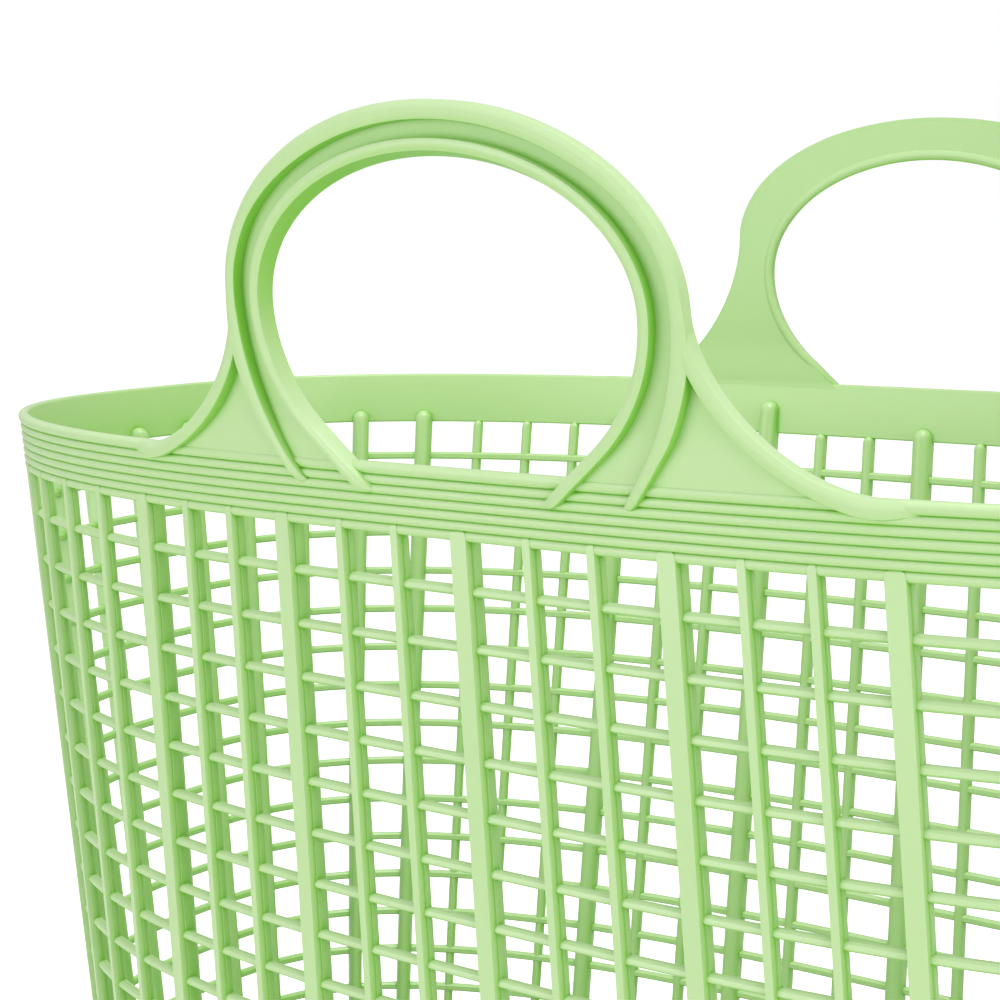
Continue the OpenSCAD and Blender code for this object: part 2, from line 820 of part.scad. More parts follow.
// Bar that carries the button's push to both rods
module button_yoke() {
    color(c_nylon) difference() {
        translate([tube_x - 5, -cavity_half[1] + 1, yoke_z[0]])
            cube([10, 2 * cavity_half[1] - 2, yoke_z[1] - yoke_z[0]]);
        for (side = [-1, 1])
            rod_z(tube_x, side * tube_y, yoke_z[0] - 1, yoke_z[0] + 2, rod_r + 0.02);
    }
}

// Rods that run down inside the inner tubes
module push_rods() {
    color(c_steel) for (side = [-1, 1])
        rod_z(tube_x, side * tube_y, inner_bottom + plug_spigot + button_travel + 1,
            yoke_z[0] + 2, rod_r);
}

module button_springs() {
    spring_y = 22;
    color(c_steel) for (side = [-1, 1])
        translate([tube_x, side * spring_y, cavity_z[0] + fit])
            coil(3.2, 0.45, yoke_z[0] - cavity_z[0] - 0.1, 5);
}

// ---- Nodes ----

// Moves a node from the basket's centre to the trolley's own frame
module placed() {
    translate([-middle_x, 0, 0]) children();
}

placed() basket();
placed() chassis();
placed() chassis_screws();
placed() chassis_washers();
placed() main_axle();
placed() axle_caps();
placed() axle_spacers();
placed() wheel_hub(1);  // wheel_hub_left
placed() wheel_hub(-1);  // wheel_hub_right
placed() wheel_tyre(1);  // wheel_tyre_left
placed() wheel_tyre(-1);  // wheel_tyre_right
placed() wheel_bush(1);  // wheel_bush_left
placed() wheel_bush(-1);  // wheel_bush_right
placed() caster_bush(1);  // caster_bush_left
placed() caster_bush(-1);  // caster_bush_right
placed() caster_fork(1);  // caster_fork_left
placed() caster_fork(-1);  // caster_fork_right
placed() caster_stem(1);  // caster_stem_left
placed() caster_stem(-1);  // caster_stem_right
placed() caster_clip(1);  // caster_clip_left
placed() caster_clip(-1);  // caster_clip_right
placed() caster_axle(1);  // caster_axle_left
placed() caster_axle(-1);  // caster_axle_right
placed() caster_hub(1);  // caster_hub_left
placed() caster_hub(-1);  // caster_hub_right
placed() caster_tyre(1);  // caster_tyre_left
placed() caster_tyre(-1);  // caster_tyre_right
placed() outer_tube(1);  // outer_tube_left
placed() outer_tube(-1);  // outer_tube_right
placed() outer_collar(1);  // outer_collar_left
placed() outer_collar(-1);  // outer_collar_right
placed() tube_bolts();
placed() handle_bracket();
placed() bracket_plate();
placed() bracket_screws();
placed() middle_tube(1);  // middle_tube_left
placed() middle_tube(-1);  // middle_tube_right
placed() middle_collar(1);  // middle_collar_left
placed() middle_collar(-1);  // middle_collar_right
placed() plug(1, middle_bottom, outer_bore_r, middle_bore_r);  // middle_plug_left
placed() plug(-1, middle_bottom, outer_bore_r, middle_bore_r);  // middle_plug_right
placed() lock_pins(lower_pin_z, outer_bore_r - 0.4);  // lower_lock_pins
placed() lock_springs(lower_pin_z);  // lower_lock_springs
placed() inner_tube(1);  // inner_tube_left
placed() inner_tube(-1);  // inner_tube_right
placed() plug(1, inner_bottom, middle_bore_r, inner_bore_r);  // inner_plug_left
placed() plug(-1, inner_bottom, middle_bore_r, inner_bore_r);  // inner_plug_right
placed() lock_pins(upper_pin_z, middle_bore_r - 0.4);  // upper_lock_pins
placed() lock_springs(upper_pin_z);  // upper_lock_springs
placed() grip();
placed() grip_cover();
placed() release_button();
placed() button_yoke();
placed() push_rods();
placed() button_springs();
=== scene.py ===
import json
import math
from collections import namedtuple

import bmesh
import bpy
import numpy as np
from mathutils import Matrix, Vector


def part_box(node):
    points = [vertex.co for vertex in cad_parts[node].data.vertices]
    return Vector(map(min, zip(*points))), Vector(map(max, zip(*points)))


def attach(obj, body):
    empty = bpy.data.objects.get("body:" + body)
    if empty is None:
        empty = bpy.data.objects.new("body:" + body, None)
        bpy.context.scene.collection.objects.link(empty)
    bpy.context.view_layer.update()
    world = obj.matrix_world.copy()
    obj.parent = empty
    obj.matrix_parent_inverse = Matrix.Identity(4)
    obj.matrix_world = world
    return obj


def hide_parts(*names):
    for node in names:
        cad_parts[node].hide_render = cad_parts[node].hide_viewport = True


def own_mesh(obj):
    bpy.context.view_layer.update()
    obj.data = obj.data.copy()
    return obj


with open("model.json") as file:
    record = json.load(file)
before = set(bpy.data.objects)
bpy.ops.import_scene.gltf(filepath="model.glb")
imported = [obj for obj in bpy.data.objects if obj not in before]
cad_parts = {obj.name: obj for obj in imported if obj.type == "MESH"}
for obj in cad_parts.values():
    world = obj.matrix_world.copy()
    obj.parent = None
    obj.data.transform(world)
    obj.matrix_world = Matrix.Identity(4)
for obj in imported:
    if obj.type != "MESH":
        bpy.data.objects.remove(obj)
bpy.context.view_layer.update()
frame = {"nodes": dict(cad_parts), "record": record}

MM = 0.001

# ---------------------------------------------------------------------------
# Driving sizes of the basket, in millimetres
# ---------------------------------------------------------------------------

RIM_HALF_LEN = 248.5                     # rim in plan
RIM_HALF_WID = 132.5
CENTRE_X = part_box("basket")[0].x / MM + RIM_HALF_LEN     # the basket's centre along X
PLAN_POWER = 2.7                         # squareness of the plan curve
RIM_Z = 384.0                            # height of the rim
WALL_LEAN = 0.08                         # inward lean of the walls
BASE_Z = 86.0                            # underside of the floor
FLOOR_T = 3.0
POST_Z = 70.0                            # foot of the screw posts

BAND_H = 18.4                            # rim band
LIP_H = 3.3
BAND_RIBS = 6
BAND_T = 3.0
CELL = 20.0                              # lattice cell along the walls
ROW_FIRST = 31.4                         # first lattice row below the rim
ROW_PITCH = 14.86
ROWS = 18
THIN_SHIFT = 0.7                         # thin ribs stand a little nearer to each other
SKIRT_H = 11.0
THICK_HALF = 3.25                        # half width of the round bars inside the ribs
THIN_HALF = 1.9
THICK_FACE = 2.45                        # half width of the flat bars outside the ribs
THIN_FACE = 1.1
RIGHT_SQUEEZE = 0.072                    # ribs of the front wall stand nearer on the +X side
LEG_RIB_RISE = 7.0                       # extra height of the ribs under the hoops' legs
END_RIBS = 10                            # ribs round an end, from the back corner to the front
END_PITCH = 25.6
BACK_CORNER = 81.5                       # last thick rib of the back wall to the first of the end
FAN = 0.055                              # spread of the ribs for each unit of depth

FLARE_HALF = 113.0
FLARE_POWER = 1.7
FLARE_RUN = 15.0                         # run of the flare beads along the lip
OPEN_HALF = 57.2                         # hand opening
OPEN_MID = 38.5
OPEN_DROP = 46.0
HOOP_PROUD = 2.5                         # front of the hoop's beads
HOOP_FLOOR = -1.1                        # floor of the channel and of the web
HOOP_BACK = -2.4                         # inner face of the hoop
HOOP_DRAFT = 0.5                         # slant of the opening's flank, half to each side
BEAD_W = 3.3                             # width of the beads
BEAD_TOP_W = 4.7                         # width of the outer bead at the top
FLARE_W = 4.0
INNER_BEAD = 1.7                         # radius of the bead on the hoop's inner side
WEB_RUN = 16.0                           # height over which the web's foot comes out to the lip

# lean is added to the wall's own lean, and the flares begin at the height flare_top.
# The back hoop is bent a little inward and looks slightly wider than the front one.
Hoop = namedtuple("Hoop", "half height open_half open_height lean flare_top")
FRONT_HOOP = Hoop(69.6, 89.0, OPEN_HALF, 76.3, 0.055, 40.0)
BACK_HOOP = Hoop(73.0, 91.6, 60.4, 78.0, -0.115, 51.0)

BAND_STEPS = 320                         # steps of the swept rings round the basket
SKIRT_STEPS = 240
ROW_STEPS = 196

SPRING_TURNS = 5
SPRING_WIRE = 0.42 * MM                  # radius of the wire, in metres

# ---------------------------------------------------------------------------
# Looks
# ---------------------------------------------------------------------------

INNER_PAINTED_SHADE = (0.22, 0.12)               # painted shade on inward faces: below the rim, on the hoops
UNDERSIDE_PAINTED_SHADE = (0.34, -0.12)          # painted shade on faces that look down, painted light on those that look up
OPENING_PAINTED_SHADE = 0.36                     # painted shade on faces round the hand opening
GRAIN_DEPTH = 0.0004                     # moulding texture, in metres
FLOOR_GLOW = 0.62                        # the floor's own light in the camera's view
SKY_SEEN = 1.0                           # backdrop in the camera's view, and as a light
SKY_LIGHT = 0.54
LIGHT_FROM = Vector((-0.44, -0.89, 0.14))

# ---------------------------------------------------------------------------
# The wall's surface
# ---------------------------------------------------------------------------


def signed_power(v, e):
    return np.sign(v) * np.abs(v) ** e


def make_plan():
    """Arc lengths, points and outward normals round the rim.

    They start at the middle of the front wall and go towards +X."""
    t = np.linspace(-math.pi / 2, 1.5 * math.pi, 14401)
    c, s = np.cos(t), np.sin(t)
    x = RIM_HALF_LEN * signed_power(c, 2 / PLAN_POWER)
    y = RIM_HALF_WID * signed_power(s, 2 / PLAN_POWER)
    e = 2 - 2 / PLAN_POWER
    nx = signed_power(c, e) / RIM_HALF_LEN
    ny = signed_power(s, e) / RIM_HALF_WID
    size = np.hypot(nx, ny)
    arc = np.concatenate([[0], np.cumsum(np.hypot(np.diff(x), np.diff(y)))])
    return arc, x, y, nx / size, ny / size


ARC, PLAN_X, PLAN_Y, NORMAL_X, NORMAL_Y = make_plan()
GIRTH = ARC[-1]


def wall(s, h, d):
    """Points at arc s, height h above the rim and depth d outside the wall, in metres."""
    s, h, d = np.broadcast_arrays(np.asarray(s, float), np.asarray(h, float), np.asarray(d, float))
    a = np.mod(s, GIRTH)
    nx = np.interp(a, ARC, NORMAL_X)
    ny = np.interp(a, ARC, NORMAL_Y)
    out = WALL_LEAN * h + d
    x = CENTRE_X + np.interp(a, ARC, PLAN_X) + nx * out
    y = np.interp(a, ARC, PLAN_Y) + ny * out
    return np.stack([x, y, RIM_Z + h], axis=-1) * MM


# ---------------------------------------------------------------------------
# Mesh gathering
# ---------------------------------------------------------------------------


class Shape:
    """Gathers closed solids as vertices and faces."""

    def __init__(self):
        self.points = []
        self.faces = []
        self.count = 0

    def add(self, points, faces):
        self.points.append(np.asarray(points, float).reshape(-1, 3))
        for f in faces:
            self.faces.append(tuple(int(i) + self.count for i in f))
        self.count += len(self.points[-1])

    def grid(self, points, close_u, close_v, flip=False):
        """A grid of points[u][v] as quads. Open ends in u are capped when v is closed."""
        nu, nv = points.shape[0], points.shape[1]
        faces = []
        for i in range(nu if close_u else nu - 1):
            k = (i + 1) % nu
            for j in range(nv if close_v else nv - 1):
                m = (j + 1) % nv
                q = (i * nv + j, k * nv + j, k * nv + m, i * nv + m)
                faces.append(q[::-1] if flip else q)
        if close_v and not close_u:
            first = tuple(range(nv))
            last = tuple((nu - 1) * nv + j for j in range(nv))
            faces.append(first if not flip else first[::-1])
            faces.append(last[::-1] if not flip else last)
        self.add(points, faces)

    def build(self, name, angle=35.0):
        mesh = bpy.data.meshes.new(name)
        mesh.from_pydata(np.concatenate(self.points).tolist(), [], self.faces)
        mesh.validate()
        work = bmesh.new()
        work.from_mesh(mesh)
        bmesh.ops.recalc_face_normals(work, faces=work.faces)
        work.to_mesh(mesh)
        work.free()
        mesh.update()
        for p in mesh.polygons:
            p.use_smooth = True
        mesh.set_sharp_from_angle(angle=math.radians(angle))
        obj = bpy.data.objects.new(name, mesh)
        bpy.context.scene.collection.objects.link(obj)
        return obj


# ---------------------------------------------------------------------------
# Basket: rings, ribs and floor
# ---------------------------------------------------------------------------


def sweep_ring(shape, profile, steps):
    """A closed profile of (d, h) pairs swept round the whole wall."""
    s = np.linspace(0, GIRTH, steps, endpoint=False)
    d = np.array([p[0] for p in profile])
    h = np.array([p[1] for p in profile])
    shape.grid(wall(s[:, None], h[None, :], d[None, :]), True, True)


def arc_points(cx, cy, rx, ry, a0, a1, n):
    """Points on an elliptic arc, angles in degrees."""
    return [
        (cx + rx * math.cos(math.radians(a)), cy + ry * math.sin(math.radians(a)))
        for a in np.linspace(a0, a1, n)
    ]


def band_profile():
    """Rounded lip and half-round ribs outside, smooth inside."""
    rib_h = (BAND_H - LIP_H) / BAND_RIBS
    points = arc_points(-BAND_T + 0.9, -0.9, 0.9, 0.9, 180, 90, 4)
    points += arc_points(-1.1, -LIP_H / 2, 1.4, LIP_H / 2, 90, -82, 11)[1:]
    for i in range(BAND_RIBS):
        middle = -LIP_H - rib_h * (i + 0.5)
        points += arc_points(-1.05, middle, 1.05, rib_h / 2, 82, -82, 8)
    points += [(-1.3, -BAND_H), (-BAND_T + 0.5, -BAND_H), (-BAND_T, -BAND_H + 0.5)]
    return points


def row_profile(h):
    """Roof-shaped bar, with its crest outside."""
    return [
        (-1.1, h - 0.15), (-1.5, h + 0.75), (-2.3, h + 1.3), (-3.6, h + 1.3), (-4.3, h + 0.7),
        (-4.3, h - 0.7), (-3.6, h - 1.3), (-2.3, h - 1.3), (-1.5, h - 0.95), (-1.1, h - 0.45),
    ]


def fanned(s, h):
    """Arc place of a rib at height h: ribs of the long walls spread as they go down."""
    return s - FAN * h * math.sin(4 * math.pi * s / GIRTH)


def upright(shape, s, section, levels):
    """A rib that stands in the wall. The section is (across, d) and levels are (h, scale, middle d)."""
    across = np.array([p[0] for p in section])
    depth = np.array([p[1] for p in section])
    rows = []
    for h, scale, middle in levels:
        rows.append(wall(fanned(s, h) + across * scale, h, middle + (depth - middle) * scale))
    shape.grid(np.array(rows), False, True)


def rib_levels(foot, top, middle):
    """Levels of the straight part of a rib."""
    return [(h, 1, middle) for h in np.linspace(foot, top, 5)]


def rib_face(shape, s, foot, top, half):
    """Flat outer bar with slanting sides, which runs up over the band's lowest rib."""
    section = [
        (-half, 0.12), (half, 0.12), (half + 0.2, -0.4), (half + 0.35, -2.6), (-half - 0.35, -2.6),
        (-half - 0.2, -0.4),
    ]
    levels = rib_levels(foot, top + 1.6, -1.6)
    levels += [(top + 2.3, 0.85, -1.6), (top + 2.7, 0.5, -1.6)]
    upright(shape, s, section, levels)


def rib_bar(shape, s, foot, top, half, centre):
    """Half-round bar on the inner side, which ends in a dome."""
    tube = [(half, -2.0)]
    for a in np.linspace(0, -math.pi, 13):
        tube.append((half * math.cos(a), centre + half * math.sin(a)))
    tube.append((-half, -2.0))
    levels = rib_levels(foot, top, centre)
    for a in (20, 40, 58, 74, 86):
        c, k = math.cos(math.radians(a)), math.sin(math.radians(a))
        levels.append((top + half * k, c, centre))
    upright(shape, s, tube, levels)


def squeezed(s):
    """Arc place of a rib, nearer to the middle on the +X half of the front wall."""
    if 3 * CELL <= s <= 6.1 * CELL:
        return s - RIGHT_SQUEEZE * (s - 3 * CELL + 1)
    if 6.1 * CELL < s < 10 * CELL:
        return s - RIGHT_SQUEEZE * (10 * CELL - s) * 0.75
    return s


def rib_places():
    """Arc places of the thick and of the thin ribs, right round the basket."""
    thick, thin = [], []
    quarter = GIRTH / 4
    last = 6 * CELL
    for centre in (0.0, 2 * quarter):
        for k in range(-2, 3):
            thick.append(centre + 3 * k * CELL)
        for k in range(-2, 2):
            thin.append(centre + (3 * k + 1) * CELL + THIN_SHIFT)
            thin.append(centre + (3 * k + 2) * CELL - THIN_SHIFT)
        corner_cells = (1.21, 2.34, 3.5) if centre == 0.0 else (1.0, 1.975, 2.975)
        for side in (-1, 1):
            for cells in corner_cells:
                thin.append(centre + side * (last + cells * CELL))
    for side in (-1, 1):
        for k in range(END_RIBS):
            thick.append(2 * quarter + side * (last + BACK_CORNER + END_PITCH * k))
    return [squeezed(s) for s in thick], [squeezed(s) for s in thin]


def inset_plan(inset):
    """The plan curve, set in from the rim."""
    return PLAN_X - inset * NORMAL_X, PLAN_Y - inset * NORMAL_Y


def half_width_at(x, inset):
    """Half width in Y of the inset plan, at a distance x from its centre."""
    px, py = inset_plan(inset)
    keep = py > 0
    order = np.argsort(px[keep])
    return float(np.interp(x, px[keep][order], py[keep][order]))


def half_length_at(y, inset):
    """Half length in X of the inset plan, at a distance y from its centre."""
    px, py = inset_plan(inset)
    keep = (py >= 0) & (px >= 0)
    order = np.argsort(py[keep])
    return float(np.interp(y, py[keep][order], px[keep][order]))


def box_bar(shape, x0, x1, y0, y1, z0, z1, edge=0.5):
    """A bar with a softened top edge."""
    low = [(x0, y0), (x1, y0), (x1, y1), (x0, y1)]
    top = [
        (x0 + edge, y0 + edge), (x1 - edge, y0 + edge), (x1 - edge, y1 - edge), (x0 + edge, y1 - edge),
    ]
    rows = [
        [(x, y, z0) for x, y in low],
        [(x, y, z1 - edge) for x, y in low],
        [(x, y, z1) for x, y in top],
    ]
    points = np.array(rows) * MM
    points[:, :, 0] += CENTRE_X * MM
    shape.grid(points, False, True, flip=True)


def round_post(shape, x, y, levels, steps=28):
    """A turned post from (z, radius) levels."""
    a = np.linspace(0, 2 * math.pi, steps, endpoint=False)
    rows = [
        np.stack([CENTRE_X + x + r * np.cos(a), y + r * np.sin(a), np.full(steps, z)], axis=-1)
        for z, r in levels
    ]
    shape.grid(np.array(rows) * MM, False, True, flip=True)


FLOOR_POSTS = [(x, side * y) for side in (-1, 1) for x, y in ((-105, 78), (30, 88), (150, 58))]


def floor_lattice(shape):
    """Floor of crossing bars inside the skirt, with round pads over the screw posts."""
    inset = WALL_LEAN * (RIM_Z - BASE_Z) + 3.0
    top = BASE_Z + FLOOR_T
    bar = 4.2
    half_len = RIM_HALF_LEN - inset
    for k in range(-11, 12):
        x = k * CELL
        if abs(x) < half_len - bar:
            half = half_width_at(abs(x) + bar / 2, inset)
            box_bar(shape, x - bar / 2, x + bar / 2, -half, half, BASE_Z, top)
    for k in range(-5, 6):
        y = k * CELL
        if abs(y) < RIM_HALF_WID - inset - bar:
            half = half_length_at(abs(y) + bar / 2, inset)
            box_bar(shape, -half, half, y - bar / 2, y + bar / 2, BASE_Z + 0.02, top - 0.1)
    post_r = 5.5
    pad_r = 11.0
    levels = [(POST_Z, post_r), (BASE_Z, post_r), (BASE_Z, pad_r)]
    levels += [(top - 0.5, pad_r), (top, pad_r - 0.6)]
    for x, y in FLOOR_POSTS:
        round_post(shape, x, y, levels)


def skirt_profile():
    low = BASE_Z - RIM_Z
    return [
        (-0.6, low), (0.0, low + 0.6), (0.0, low + SKIRT_H - 1.2), (-1.0, low + SKIRT_H),
        (-4.6, low + SKIRT_H), (-5.4, low + SKIRT_H - 0.8), (-5.4, low + FLOOR_T + 1.5),
        (-9.0, low + FLOOR_T + 0.05), (-9.0, low),
    ]


# ---------------------------------------------------------------------------
# Hoops
# ---------------------------------------------------------------------------


def smooth_step(x):
    x = np.clip(x, 0, 1)
    return x * x * (3 - 2 * x)


def opening_line(u, hoop):
    """Edge of the hand opening from the top (u 0) past the rim to the end of its tail (u 1)."""
    half, top = hoop.open_half, hoop.open_height
    leave = 42.5                         # turn below the widest place at which the tail begins
    tail_turn = 24.0
    turn = u * (90.0 + leave + tail_turn)
    if turn <= 90:
        t = math.radians(90 - turn)
        return half * math.cos(t), OPEN_MID + (top - OPEN_MID) * math.sin(t)
    t = math.radians(min(turn - 90, leave))
    s = OPEN_HALF * math.cos(t) + (half - OPEN_HALF) * math.cos(t) ** 3
    h = OPEN_MID - OPEN_DROP * math.sin(t)
    past = math.radians(max(turn - 90 - leave, 0))
    return s - OPEN_HALF * math.sin(t) * past, h - OPEN_DROP * math.cos(t) * past


def rib_line(u, hoop):
    """Channel-side edge of the outer bead, which runs on below as the middle rib (u 0 to 1)."""
    half = hoop.half - BEAD_W
    turn = u * 180.0
    if turn <= 90:
        t = math.radians(90 - turn)
        rise = hoop.height - BEAD_TOP_W - hoop.flare_top
        return half * math.cos(t), hoop.flare_top + rise * math.sin(t)
    fall = hoop.flare_top + 6.5
    part = (turn - 90) / 90
    return half - 17.0 * part ** 2.25, hoop.flare_top - fall * part


def outline(u, hoop):
    """Outside edge of the hoop from the top (u 0) to the end of the flare's run on the lip (u 1)."""
    turn = u * 200.0
    if turn <= 90:
        t = math.radians(90 - turn)
        return hoop.half * math.cos(t), hoop.flare_top + (hoop.height - hoop.flare_top) * math.sin(t)
    if turn > 180:
        return FLARE_HALF + FLARE_RUN * (turn - 180) / 20, 0.0
    t = math.radians(turn - 90)
    w = FLARE_HALF - hoop.half
    e = 2 / FLARE_POWER
    return FLARE_HALF - w * max(math.cos(t), 0.0) ** e, hoop.flare_top * (1 - math.sin(t) ** e)


def dense(curve, hoop, n=600):
    """A curve as an array of points."""
    return np.array([curve(u, hoop) for u in np.linspace(0, 1, n)])


def offset_line(points, amount):
    """Points moved sideways, to the left of their direction of travel when amount is positive."""
    step = np.gradient(points, axis=0)
    size = np.hypot(step[:, 0], step[:, 1])
    normal = np.stack([-step[:, 1], step[:, 0]], axis=1) / size[:, None]
    return points + normal * np.asarray(amount)[..., None]


def resample(points, n, start=0.0, end=1.0):
    length = np.concatenate([[0], np.cumsum(np.hypot(*np.diff(points, axis=0).T))])
    at = np.linspace(start, end, n) * length[-1]
    return np.stack([np.interp(at, length, points[:, i]) for i in (0, 1)], axis=1)


def both_sides(points):
    """A line from the top down one leg, with its mirror image before it."""
    mirror = points[:0:-1] * np.array([-1.0, 1.0])
    return np.concatenate([mirror, points])


def both_ends(values):
    return np.concatenate([values[:0:-1], values])


def strip(shape, place, lines, front, back, rounding, across=5, bulge=0.25):
    """A raised strip in the wall, closed, from the back depth to a slightly convex front.

    lines are its two edges at the back and the same two at the front, in the order
    inner back, inner front, outer front, outer back. rounding is for the two front edges."""
    inner_back, inner, outer, outer_back = [both_sides(line) for line in lines]
    front, back = both_ends(front), both_ends(back)
    gap = outer - inner
    width = np.maximum(np.hypot(*gap.T), 1e-6)
    limit = np.minimum(width * 0.32, np.maximum(front - back, 0.02) * 0.6)
    near = np.minimum(rounding[0], limit)
    far = np.minimum(rounding[1], limit)
    columns = [(inner_back, back)]
    for along, drop in ((0.0, 1.0), (0.3, 0.3), (1.0, 0.0)):
        columns.append((inner + gap * (near * along / width)[:, None], front - bulge - drop * near))
    for f in np.linspace(0, 1, across)[1:-1]:
        g = near / width + (1 - (near + far) / width) * f
        columns.append((inner + gap * g[:, None], front - bulge + bulge * 4 * f * (1 - f)))
    for along, drop in ((1.0, 0.0), (0.3, 0.3), (0.0, 1.0)):
        columns.append((outer - gap * (far * along / width)[:, None], front - bulge - drop * far))
    columns.append((outer_back, back))
    rows = np.stack([place(q[:, 0], q[:, 1], d) for q, d in columns], axis=1)
    shape.grid(rows, False, True)


def tail(along, length, end):
    """One along a bead, and falling to end with a rounded nose over the last part."""
    x = np.clip((along - 1 + length) / length, 0, 1)
    return end + (1 - end) * np.sqrt(1 - x ** 2)


def make_hoop(shape, centre, hoop):
    """A whole hoop about the middle of a long wall."""

    def place(s, h, d):
        return wall(centre + s, h, d + hoop.lean * np.maximum(h, 0))

    n = 110
    along = np.linspace(0, 1, n)
    opening = dense(opening_line, hoop)
    edge = dense(outline, hoop)

    # Inner bead along the opening, which runs out in a tail over the band
    line = resample(opening, n)
    width = 3.3 * tail(along, 0.045, 0.25)
    inner = offset_line(line, np.full(n, HOOP_DRAFT))
    outer = offset_line(line, HOOP_DRAFT + width)
    front = -0.3 + (HOOP_PROUD + 0.3) * tail(along, 0.09, 0.0)
    back = np.full(n, HOOP_BACK + 0.2)
    inner_back = offset_line(line, np.full(n, -HOOP_DRAFT))
    strip(shape, place, (inner_back, inner, outer, outer), front, back, (1.0, 0.5))

    # Outer bead, which runs on below as the middle rib
    inner = resample(dense(rib_line, hoop), n)
    heights = (-6.0, 1.3, 6.0, 11.0, 25.5, 33.0, 42.0, 60.0, 82.0)
    widths = (2.7, 2.9, 3.2, 3.9, 4.6, 4.4, BEAD_W, BEAD_W + 0.3, BEAD_TOP_W)
    width = np.interp(inner[:, 1], heights, widths)
    outer = offset_line(inner, width * tail(along, 0.04, 0.3))
    front = -0.3 + (HOOP_PROUD + 0.3) * tail(along, 0.08, 0.0)
    strip(shape, place, (inner, inner, outer, outer), front, np.full(n, -1.6), (0.7, 0.5))

    # Flare bead along the outline, which dips over the lip and runs out in it
    outer = resample(edge, n)
    at = outer[:, 0]
    low = outer[:, 1] < hoop.flare_top
    dip = np.where(low, smooth_step((at - 96) / 16), 0.0)
    end = np.where(low, smooth_step((at - 112) / 14), 0.0)
    width = FLARE_W - 0.7 * smooth_step((outer[:, 1] - 25) / 15) + 0.7 * dip
    width = width + (BEAD_TOP_W - BEAD_W) * smooth_step((outer[:, 1] - 55) / 30)
    width = width + (LIP_H - width) * end
    inner = offset_line(outer, -width)
    front = HOOP_PROUD - 0.7 * dip - (HOOP_PROUD + 0.4) * end
    back = np.full(n, HOOP_BACK + 0.2) - 0.4 * dip
    strip(shape, place, (inner, inner, outer, outer), front, back, (0.5, 1.3))

    # Web between the opening and the outline, whose foot comes forward to the lip
    foot = -1.2
    m = 90
    low = opening[opening[:, 1] > foot]
    left = resample(offset_line(low, np.full(len(low), 1.0)), m)
    above = edge[edge[:, 0] <= FLARE_HALF - 3.0]
    right = resample(offset_line(above, np.full(len(above), -1.0)), m)
    right[:, 1] = np.maximum(right[:, 1], foot)
    web(shape, place, left, right)

    # Half-round bead along the opening on the inner side
    line = resample(opening[opening[:, 1] > 0.5], n)
    half = INNER_BEAD * tail(along, 0.12, 0.1)
    middle = offset_line(line, np.full(n, INNER_BEAD - HOOP_DRAFT))
    columns = []
    for a in np.linspace(0, math.pi, 9):
        q = both_sides(offset_line(middle, -half * math.cos(a)))
        depth = HOOP_BACK + 0.3 - both_ends(half) * 0.45 * math.sin(a)
        columns.append(place(q[:, 0], q[:, 1], depth))
    shape.grid(np.stack(columns, axis=1), False, True)


def web(shape, place, left, right):
    """Thin sheet between two lines.

    At its foot the front comes out to the lip, and the back goes in to the band."""
    left, right = both_sides(left), both_sides(right)
    shares = (0.0, 0.12, 0.3, 0.5, 0.7, 0.88, 1.0)
    columns = []
    for order, face, change in ((1, HOOP_FLOOR, 1.0), (-1, HOOP_BACK, -0.62)):
        for f in shares[::order]:
            q = left + (right - left) * f
            out = face + change * (1 - smooth_step((q[:, 1] + 1.2) / WEB_RUN))
            columns.append(place(q[:, 0], q[:, 1], out))
    shape.grid(np.stack(columns, axis=1), False, True)


def from_middle(s):
    """Distance along the wall from the middle of the nearer long wall."""
    return abs((s + GIRTH / 4) % (GIRTH / 2) - GIRTH / 4)


def build_basket():
    lattice = Shape()
    sweep_ring(lattice, band_profile(), BAND_STEPS)
    sweep_ring(lattice, skirt_profile(), SKIRT_STEPS)
    for k in range(ROWS):
        sweep_ring(lattice, row_profile(-ROW_FIRST - ROW_PITCH * k), ROW_STEPS)
    foot = BASE_Z - RIM_Z + 2.0
    thick, thin = rib_places()
    for s in thick:
        under_leg = abs(from_middle(s) - 3 * CELL) < 1.0
        rise = 1.2 + (LEG_RIB_RISE if under_leg else 0.0)
        rib_face(lattice, s, foot, -BAND_H, THICK_FACE)
        rib_bar(lattice, s, foot, rise - BAND_H, THICK_HALF, -4.0)
    for s in thin:
        middle = -2.2 if from_middle(s) > 6 * CELL else -3.1
        rib_face(lattice, s, foot, -BAND_H, THIN_FACE)
        rib_bar(lattice, s, foot, -BAND_H - 1.2, THIN_HALF, middle)
    floor_lattice(lattice)
    make_hoop(lattice, 0.0, FRONT_HOOP)
    make_hoop(lattice, GIRTH / 2, BACK_HOOP)
    return lattice.build("basket_mesh", 32.0)


basket = build_basket()
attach(basket, "trolley")
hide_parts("basket")

# ---------------------------------------------------------------------------
# Springs of the release button
# ---------------------------------------------------------------------------


def coil(shape, x, y, low, high, radius, wire):
    """Compression spring along Z, with closed end turns."""
    around = np.linspace(0, 2 * math.pi, 12, endpoint=False)
    turn = np.linspace(0, 2 * math.pi * SPRING_TURNS, 28 * SPRING_TURNS + 1)
    part = np.clip((turn / (2 * math.pi) - 0.75) / (SPRING_TURNS - 1.5), 0, 1)
    closed = wire * 0.9 * np.minimum(turn, turn[-1] - turn) / math.pi
    rise = low + wire + np.minimum(closed, wire) * (1 - 2 * part) + (high - low - 2 * wire) * part
    reach = radius + wire * np.cos(around)[None, :]
    rows = [
        x + reach * np.cos(turn)[:, None],
        y + reach * np.sin(turn)[:, None],
        rise[:, None] + wire * np.sin(around)[None, :],
    ]
    shape.grid(np.stack(rows, axis=-1), False, True)


